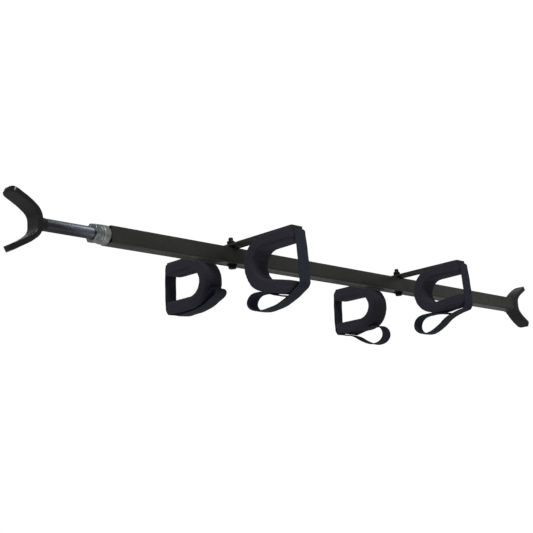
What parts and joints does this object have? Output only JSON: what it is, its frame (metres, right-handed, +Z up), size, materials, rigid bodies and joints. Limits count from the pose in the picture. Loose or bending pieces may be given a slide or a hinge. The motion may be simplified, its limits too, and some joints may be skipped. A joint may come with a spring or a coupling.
{
  "type": "expanding cargo bar with strap cradles",
  "caption": "Square-tube bar with a saddle at each end, one on an adjusting screw, and swivelling cross arms that carry padded strap cradles under their ends.",
  "frame": {"origin": "centre of the fixed saddle's seat", "axes": "+X out of the fixed saddle's seat, away from the bar; +Z up, from the tube to the cross arms; +Y across the bar"},
  "size_m": [1.597, 0.375, 0.1785],
  "materials": {
    "coat": "satin olive-black powder coat on steel",
    "vinyl": "glossy black vinyl dip",
    "zinc": "clear zinc plate",
    "yellow_zinc": "zinc plate with a pale yellow-green passivate",
    "dark_steel": "dark plated steel",
    "nylon": "moulded black nylon",
    "foam": "navy-black fabric over foam",
    "webbing": "navy-black hook-and-loop webbing"
  },
  "bodies": {
    "bar": {"main_tube": "coat", "fixed_saddle_core": "dark_steel", "fixed_saddle_dip": "vinyl", "thrust_collar": "yellow_zinc", "thrust_washer": "yellow_zinc", "pivot_spacer_1": "nylon", "pivot_washer_bottom_1": "dark_steel", "pivot_washer_top_1": "dark_steel", "pivot_bolt_1": "dark_steel", "pivot_nut_1": "dark_steel", "pivot_spacer_2": "nylon", "pivot_washer_bottom_2": "dark_steel", "pivot_washer_top_2": "dark_steel", "pivot_bolt_2": "dark_steel", "pivot_nut_2": "dark_steel"},
    "nut": {"adjusting_nut": "zinc"},
    "screw": {"screw_rod": "zinc", "screw_saddle_core": "dark_steel", "screw_saddle_dip": "vinyl", "rod_guide": "nylon"},
    "arm_1": {"cross_arm_1": "coat", "hook_1a": "dark_steel", "strap_1a": "webbing", "pad_1a": "foam", "hook_rivet_inner_1a": "dark_steel", "hook_rivet_outer_1a": "dark_steel", "strap_rivet_1a": "dark_steel", "hook_1b": "dark_steel", "strap_1b": "webbing", "pad_1b": "foam", "hook_rivet_inner_1b": "dark_steel", "hook_rivet_outer_1b": "dark_steel", "strap_rivet_1b": "dark_steel"},
    "arm_2": {"cross_arm_2": "coat", "hook_2a": "dark_steel", "strap_2a": "webbing", "pad_2a": "foam", "hook_rivet_inner_2a": "dark_steel", "hook_rivet_outer_2a": "dark_steel", "strap_rivet_2a": "dark_steel", "hook_2b": "dark_steel", "strap_2b": "webbing", "pad_2b": "foam", "hook_rivet_inner_2b": "dark_steel", "hook_rivet_outer_2b": "dark_steel", "strap_rivet_2b": "dark_steel"}
  },
  "joints": [
    {"name": "nut_spin", "type": "hinge", "parent": "bar", "child": "nut", "pos_m": [-1.3753, 0, 0], "axis": [1, 0, 0], "range_deg": [-19080, 12240]},
    {"name": "screw_slide", "type": "slide", "parent": "bar", "child": "screw", "axis": [-1, 0, 0], "range_m": [-0.0961, 0.0616]},
    {"name": "arm_1_swivel", "type": "hinge", "parent": "bar", "child": "arm_1", "pos_m": [-1.03965, 0, 0], "axis": [0, 0, 1], "range_deg": [-52, 52]},
    {"name": "arm_2_swivel", "type": "hinge", "parent": "bar", "child": "arm_2", "pos_m": [-0.50165, 0, 0], "axis": [0, 0, 1], "range_deg": [-52, 52]}
  ],
  "couplings": [
    {"joint": "nut_spin", "follows": "screw_slide", "rad_per_m": 3463.2}
  ]
}
